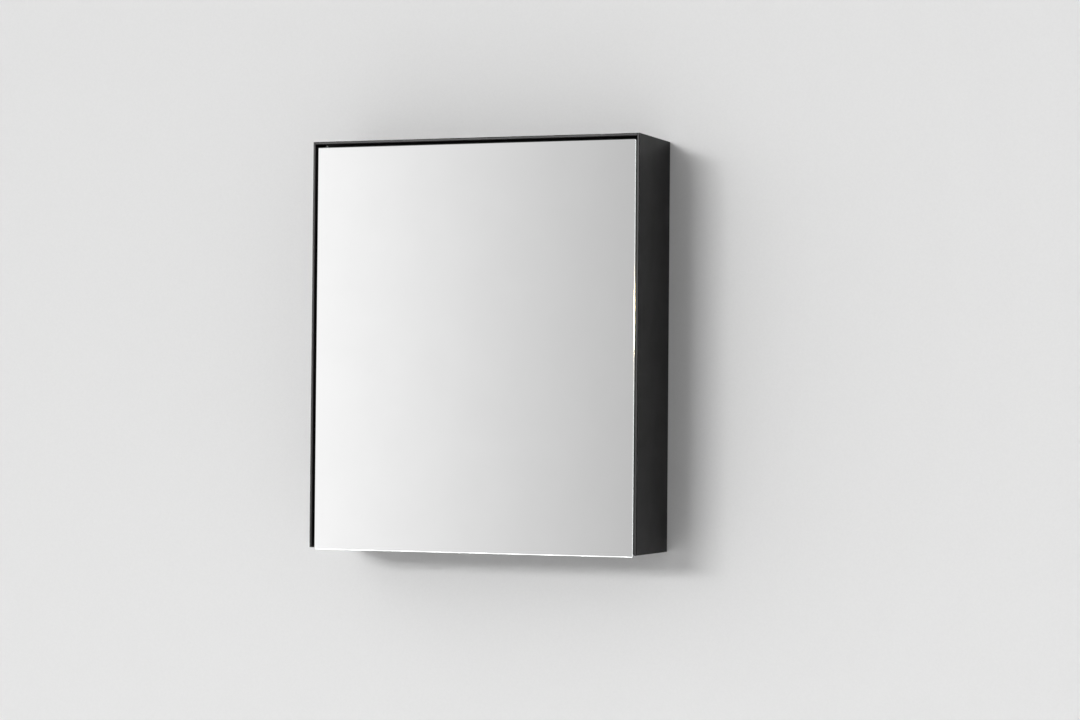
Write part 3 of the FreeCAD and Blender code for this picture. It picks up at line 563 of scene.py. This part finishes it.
addScrews("panelScrews", "panel_screws", panelScrew, "cabinet")
addScrews("backScrews", "back_screws", backScrew, "cabinet", 1, -1)
addScrews("hingePlateScrews", "hinge_plate_screws", plateScrew, "cabinet", 2)
addScrews("strikerScrew", "striker_screw", strikerScrew, "door", 1, -1)
print("screws made")


# rounded rest, flange, then the grooved and tapered peg
shelfPin = {"start": [(0, 0), (1.7, 0), (2.1, 0.15), (2.2, 0.5), (2.2, 8.9), (2.7, 9.0), (2.9, 9.2),
                      (2.9, 10.0), (2.7, 10.2), (2.45, 10.2), (2.45, 12.0), (2.25, 12.3), (2.45, 12.6),
                      (2.45, 14.2), (2.25, 14.5), (2.45, 14.8)],
            "tail": [(2.45, 1.0), (1.9, 0), (0, 0)], "segments": 32}
# thin tube with a bead at each end
shelfSleeve = {"start": [(2.22, 0), (2.8, 0), (3.0, 0.2), (3.0, 0.7), (2.86, 0.9)],
               "tail": [(2.86, 0.9), (3.0, 0.7), (3.0, 0.2), (2.8, 0), (2.22, 0)], "segments": 32}
# bevelled ends, and flutes that leave sharp lands between them
dowel = {"start": [(0, 0), (2.8, 0), (3.2, 0), (4.0, 1.2)],
         "tail": [(4.0, 1.2), (3.2, 0), (2.8, 0), (0, 0)], "segments": 96,
         "flutes": 24, "fluteDepth": 0.05, "fluteSharp": 6}


def fluted(points, angle):
    # radius pulled in by depth * |cos(flutes * angle / 2)| to the power that sharpens the flutes
    wave = np.abs(np.cos(angle * dowel["flutes"] / 2)) ** dowel["fluteSharp"]
    moved = points.copy()
    moved[..., :2] *= (1 - dowel["fluteDepth"] * wave)[..., None]
    return moved


def addPegs(name, node, form, material):
    # form(length) set at each of the node's solids, which point left or right
    found = spotsAlong(node, 0)
    spots = [(start, way, 0.0) for start, way, _ in found]
    standIn(repeated(name, form(found[0][2]), spots, material), node, "cabinet")


def pinForm(length):
    return turned(lengthwise(shelfPin["start"], shelfPin["tail"], length), shelfPin["segments"])


def sleeveForm(length):
    return turnedRing(lengthwise(shelfSleeve["start"], shelfSleeve["tail"], length), shelfSleeve["segments"])


def dowelForm(length):
    return turned(lengthwise(dowel["start"], dowel["tail"], length), dowel["segments"], fluted)


addPegs("shelfPins", "shelf_pins", pinForm, nickel)
addPegs("shelfSleeves", "shelf_sleeves", sleeveForm, vinyl)
addPegs("flutedDowels", "carcass_dowels", dowelForm, wood)
print("pins made")


# lengths in mm, and shares of the piece's own radius or length
pivotPin = {"nose": 0.7, "bevel": 0.35, "segments": 32}
pivotRing = {"bore": 1.5, "soft": 0.25, "softShare": 0.3, "segments": 40}
catchMagnet = {"face": 0.85, "bevel": 0.3, "back": 0.8, "segments": 40}
catchSleeve = {"back": 0.95, "backBevel": 0.4, "waistAt": 1.2, "lip": 0.98, "lipAt": 0.3, "rim": 0.3,
               "mouth": 0.2, "fit": 0.02, "floor": 0.8, "segments": 40}
striker = {"hole": 1.25, "sink": 2.42, "sinkLand": 0.02, "bevel": 0.25, "segments": 48}
doorStop = {"foot": 0.94, "skirt": 0.2, "skirtShare": 0.25, "domeRows": 10, "segments": 40}


def setOne(name, node, form, start, way, material, body):
    # one turned form set once
    standIn(repeated(name, form, [(start, way, 0.0)], material), node, body)


def pivotPinPiece(name, node):
    # bevelled at both ends
    start, length, radius = lowEnd(node, 2)
    bevel, nose = radius * pivotPin["bevel"], radius * pivotPin["nose"]
    profile = lengthwise([(0, 0), (nose, 0), (radius, bevel)], [(radius, bevel), (nose, 0), (0, 0)], length)
    setOne(name, node, turned(profile, pivotPin["segments"]), start, "+z", pinSteel, "cabinet")


def pivotRingPiece(name, node):
    # a flat ring with softened edges
    start, length, radius = lowEnd(node, 2)
    bore, soft = pivotRing["bore"], min(pivotRing["soft"], length * pivotRing["softShare"])
    profile = lengthwise([(bore, soft), (bore + soft, 0), (radius - soft, 0), (radius, soft)],
                         [(radius, soft), (radius - soft, 0), (bore + soft, 0), (bore, soft)], length)
    setOne(name, node, turnedRing(profile, pivotRing["segments"]), start, "+z", nylon, "cabinet")


def catchPieces():
    # the magnet, a bevelled disc, and the cup that holds it, from its floor inside out over the rim
    start, length, radius = lowEnd("catch_magnet", 1)
    m = catchMagnet
    profile = [(0, 0), (radius * m["face"], 0), (radius, m["bevel"]), (radius, length),
               (radius * m["back"], length), (0, length)]
    setOne("catchMagnet", "catch_magnet", turned(profile, m["segments"]), start, "+y", nickel,
           "cabinet")
    start, length, outer = lowEnd("catch_sleeve", 1)
    s = catchSleeve
    inside, floor = radius + s["fit"], length - s["floor"]
    profile = [(0, floor), (inside, floor), (inside, s["lipAt"]), (radius + s["mouth"], 0),
               (outer - s["rim"], 0), (outer * s["lip"], s["lipAt"]), (outer, s["waistAt"]),
               (outer, length - s["backBevel"]), (outer * s["back"], length), (0, length)]
    setOne("catchSleeve", "catch_sleeve", turned(profile, s["segments"]), start, "+y", nylon,
           "cabinet")


def strikerPiece():
    # a disc with bevelled rims and a countersunk hole
    start, thick, outer = lowEnd("striker_disc", 1)
    d = striker
    bevel = d["bevel"]
    profile = [(d["hole"], 0), (outer - bevel / 2, 0), (outer, bevel / 2), (outer, thick - bevel),
               (outer - bevel, thick), (d["sink"], thick), (d["hole"], d["sinkLand"])]
    setOne("strikerDisc", "striker_disc", turnedRing(profile, d["segments"]), start, "+y", zinc,
           "door")


def stopPieces():
    # flat foot, upright skirt, then a quarter ellipse over the dome:
    # radius cos a, height (skirt + (1 - skirt) sin a)
    low, high = solidBoxes("door_bumpers")[0]
    radius, height = (high[0] - low[0]) / mm / 2, (high[1] - low[1]) / mm
    d = doorStop
    angle = np.linspace(0, math.pi / 2, d["domeRows"])
    rises = height * (d["skirtShare"] + (1 - d["skirtShare"]) * np.sin(angle))
    dome = list(zip(radius * np.cos(angle), rises))
    profile = [(0, 0), (radius * d["foot"], 0), (radius, d["skirt"])] + dome[:-1] + [(0, height)]
    spots = [(start, "-y", 0.0) for start, _, _ in spotsAlong("door_bumpers", 1, -1)]
    piece = repeated("doorBumpers", turned(profile, d["segments"]), spots, softStop)
    standIn(piece, "door_bumpers", "cabinet")


pivotPinPiece("pivotPinTop", "hinge_pin_top")
pivotPinPiece("pivotPinBottom", "hinge_pin_bottom")
pivotRingPiece("pivotSpacerTop", "hinge_spacer_top")
pivotRingPiece("pivotWasherBottom", "hinge_washer_bottom")
catchPieces()
strikerPiece()
stopPieces()
print("hinge, catch and stops made")


# finishes of the CAD pieces that stay
keptFinishes = {
    coat: ["side_panel_left", "side_panel_right", "top_panel", "bottom_panel"],
    boardFace: ["carcass_side_left", "carcass_side_right", "carcass_top", "carcass_bottom", "back_panel"],
    railUpright: ["door_rail_left", "door_rail_right"],
    railLevel: ["door_rail_top", "door_rail_bottom"],
    plateCoat: ["hinge_plate_top", "hinge_plate_bottom"],
    castAlloy: ["corner_key_top_left", "corner_key_bottom_left", "corner_keys_right"],
    foam: ["bonding_tape"],
}
for material, names in keptFinishes.items():
    for name in names:
        for held in nodes[name].material_slots:
            held.material = material
print("finishes set")


# in metres
stagePlan = {"wallGap": 0.001, "wallHalf": 3.2, "wallHigh": 2.4, "floorLevel": -1.35,
             "floorSide": 14.0, "floorFront": -10.0, "floorBack": 14.0}


def stageSheet(name, corners, material):
    # one flat face of the stage
    mesh = bpy.data.meshes.new(name)
    mesh.from_pydata(corners, [], [list(range(len(corners)))])
    mesh.materials.append(material)
    sheet = bpy.data.objects.new(name, mesh)
    bpy.context.scene.collection.objects.link(sheet)
    return sheet


def wallPaint():
    # matt wall paint: pale grey, with the faint stipple of a roller, and open from behind
    look = {"first": "#dedede", "second": "#e0e0e0", "stipple": 3.0, "detail": 3.0, "depth": 0.03}
    material, tree, body, place = newMaterial("mattWallPaint", {"Roughness": 0.9, "Specular IOR Level": 0.0})
    stipple = addNode(tree, "ShaderNodeTexNoise", {
        "Vector": place, "Scale": perMetre(look["stipple"]), "Detail": look["detail"]}).outputs["Fac"]
    dress(tree, body, look, colour=stipple, relief=stipple)
    clear = addNode(tree, "ShaderNodeBsdfTransparent")
    behind = addNode(tree, "ShaderNodeNewGeometry").outputs["Backfacing"]
    mix = addNode(tree, "ShaderNodeMixShader", {0: behind, 1: body.outputs[0], 2: clear.outputs[0]})
    out = next(n for n in tree.nodes if n.type == "OUTPUT_MATERIAL")
    tree.links.new(mix.outputs[0], out.inputs["Surface"])
    return material


def floorPaint():
    # plain sealed floor: pale, dull, with slight clouding
    look = {"first": "#d9d9d9", "second": "#dedede", "cloud": 700.0, "detail": 3.0}
    material, tree, body, place = newMaterial("plainPaleFloor", {"Roughness": 0.7})
    cloud = addNode(tree, "ShaderNodeTexNoise", {
        "Vector": place, "Scale": perMetre(look["cloud"]), "Detail": look["detail"]}).outputs["Fac"]
    dress(tree, body, look, colour=cloud)
    return material


def buildStage():
    # an upright sheet behind the cabinet, which throws no shadow, and a wide floor well below it,
    # which no mirror or gloss shows
    s = stagePlan
    x, y, base, top = s["wallHalf"], s["wallGap"], s["floorLevel"], s["wallHigh"]
    wall = stageSheet("stageWall", [(-x, y, base), (x, y, base), (x, y, top), (-x, y, top)], wallPaint())
    wall.visible_shadow = False
    side, front, back = s["floorSide"], s["floorFront"], s["floorBack"]
    corners = [(-side, front, base), (side, front, base), (side, back, base), (-side, back, base)]
    floor = stageSheet("stageFloor", corners, floorPaint())
    floor.visible_glossy = False


# angles in degrees; edgeLow and edgeHigh are sines of the angle to the left, and lowStart and lowEnd
# of the angle above level
worldPlan = {"dark": 0.36, "bright": 1.30, "edgeLow": 0.2302, "edgeHigh": 0.5532, "seen": 0.62,
             "boxLeft": 24.0, "boxUp": 26.0, "boxOuter": 17.0, "boxInner": 8.0, "boxLight": 0.5,
             "lowStart": -0.055, "lowEnd": -0.3, "lowLight": 0.6}


def onSky(left, up):
    # the way to a point left degrees to the left of straight ahead (-y) and up degrees above level
    a, e = math.radians(left), math.radians(up)
    return (-math.sin(a) * math.cos(e), -math.cos(a) * math.cos(e), math.sin(e))


def buildWorld():
    # a room that brightens smoothly to the left: radiance rises from dark to bright as the way to
    # the left, -x of the direction, goes from edgeLow to edgeHigh. A soft box of light above the
    # camera adds to it within a cone, and below the horizon it fades over to one even lowLight. The
    # camera itself sees a plain pale grey.
    w = worldPlan
    world = bpy.data.worlds.new("studio")
    bpy.context.scene.world = world
    world.use_nodes = True
    tree = world.node_tree
    tree.nodes.clear()
    direction = addNode(tree, "ShaderNodeTexCoord").outputs["Generated"]
    leftward = addNode(tree, "ShaderNodeVectorMath", {0: direction, 1: (-1, 0, 0)},
                       operation="DOT_PRODUCT").outputs["Value"]
    level = addNode(tree, "ShaderNodeMapRange", {
        "Value": leftward, "From Min": w["edgeLow"], "From Max": w["edgeHigh"],
        "To Min": w["dark"], "To Max": w["bright"]}, interpolation_type="SMOOTHSTEP").outputs[0]
    nearness = addNode(tree, "ShaderNodeVectorMath", {0: direction, 1: onSky(w["boxLeft"], w["boxUp"])},
                       operation="DOT_PRODUCT").outputs["Value"]
    outer, inner = math.cos(math.radians(w["boxOuter"])), math.cos(math.radians(w["boxInner"]))
    box = addNode(tree, "ShaderNodeMapRange", {
        "Value": nearness, "From Min": outer, "From Max": inner,
        "To Max": w["boxLight"]}, interpolation_type="SMOOTHSTEP").outputs[0]
    both = addNode(tree, "ShaderNodeMath", {0: level, 1: box}, operation="ADD").outputs[0]
    height = addNode(tree, "ShaderNodeSeparateXYZ", {0: direction}).outputs["Z"]
    low = addNode(tree, "ShaderNodeMapRange", {
        "Value": height, "From Min": w["lowStart"], "From Max": w["lowEnd"],
    }, interpolation_type="SMOOTHSTEP").outputs[0]
    whole = addNode(tree, "ShaderNodeMix", {0: low, 2: both, 3: w["lowLight"]}).outputs[0]
    white = (1, 1, 1, 1)
    room = addNode(tree, "ShaderNodeBackground", {"Color": white, "Strength": whole})
    seen = addNode(tree, "ShaderNodeBackground", {"Color": white, "Strength": w["seen"]})
    eye = addNode(tree, "ShaderNodeLightPath").outputs["Is Camera Ray"]
    mix = addNode(tree, "ShaderNodeMixShader", {0: eye, 1: room.outputs[0], 2: seen.outputs[0]})
    addNode(tree, "ShaderNodeOutputWorld", {"Surface": mix.outputs[0]})


# places in metres, angles in degrees to the left of straight ahead and above level, power in watts
keyPlan = {"lefts": (14.8, 22.5, 30.2), "up": 11.3, "width": 7.8, "strength": 0.425}
sheenPlan = {"left": 22.0, "up": 16.0, "width": 6.0, "strength": 6.5}
glintPlan = {"place": (-1.9, -2.23, 0.13), "target": (0.248, -0.137, 0.03), "wide": 0.16, "high": 0.10,
             "power": 1.2, "colour": "#ffe3b0"}
backFillPlan = {"place": (0.0, 2.4, 0.1), "target": (0, 0, 0), "wide": 0.4, "high": 0.4, "power": 60.0,
                "colour": "#ffffff"}


def addSun(name, left, up, width, strength, diffuse, glossy):
    # an even light from far off, from left and up of straight ahead and width degrees across
    lamp = bpy.data.lights.new(name, "SUN")
    lamp.angle = math.radians(width)
    lamp.energy = strength
    holder = bpy.data.objects.new(name, lamp)
    holder.rotation_euler = Vector(onSky(left, up)).to_track_quat("Z", "Y").to_euler()
    holder.visible_diffuse = diffuse
    holder.visible_glossy = glossy
    bpy.context.scene.collection.objects.link(holder)


def addLamp(name, plan, diffuse, glossy):
    # a flat lamp of wide by high that faces its target
    lamp = bpy.data.lights.new(name, "AREA")
    lamp.shape = "RECTANGLE"
    lamp.size, lamp.size_y = plan["wide"], plan["high"]
    lamp.energy = plan["power"]
    lamp.color = linear(plan["colour"])[:3]
    holder = bpy.data.objects.new(name, lamp)
    holder.location = plan["place"]
    way = Vector(plan["target"]) - Vector(plan["place"])
    holder.rotation_euler = way.to_track_quat("-Z", "Y").to_euler()
    holder.visible_camera = False
    holder.visible_diffuse = diffuse
    holder.visible_glossy = glossy
    bpy.context.scene.collection.objects.link(holder)


def buildLights():
    # the key is a wide low strip of three even lights side by side. A small one gives only the
    # sheen, a warm lamp glints only in the mirror's polished edge, and a fill lights the back.
    k, s = keyPlan, sheenPlan
    for index, left in enumerate(k["lefts"]):
        addSun(f"keyLight{index}", left, k["up"], k["width"], k["strength"], True, False)
    addSun("sheenLight", s["left"], s["up"], s["width"], s["strength"], False, True)
    addLamp("glintLamp", glintPlan, False, True)
    addLamp("backFill", backFillPlan, True, False)


# place and reach in metres, angles in degrees, lens and sensor in mm
cameraPlan = {"place": (1.54357, -3.96643, -0.10997), "yaw": 20.58, "pitch": 1.22, "roll": 0.50,
              "lens": 94.92, "sensor": 36.0, "reach": 60.0}


def addCamera():
    # looks along +Y, turned by yaw about Z, tipped up by pitch, then rolled about its own view
    c = cameraPlan
    camera = bpy.data.cameras.new("view")
    camera.lens = c["lens"]
    camera.sensor_width = c["sensor"]
    camera.clip_end = c["reach"]
    holder = bpy.data.objects.new("view", camera)
    yaw = Matrix.Rotation(math.radians(c["yaw"]), 4, "Z")
    pitch = Matrix.Rotation(math.radians(90 + c["pitch"]), 4, "X")
    roll = Matrix.Rotation(math.radians(c["roll"]), 4, "Z")
    holder.matrix_world = Matrix.Translation(c["place"]) @ yaw @ pitch @ roll
    bpy.context.scene.collection.objects.link(holder)
    bpy.context.scene.camera = holder


buildStage()
buildWorld()
buildLights()
addCamera()
bpy.context.scene.view_settings.view_transform = "Standard"
print("stage, light and camera set")
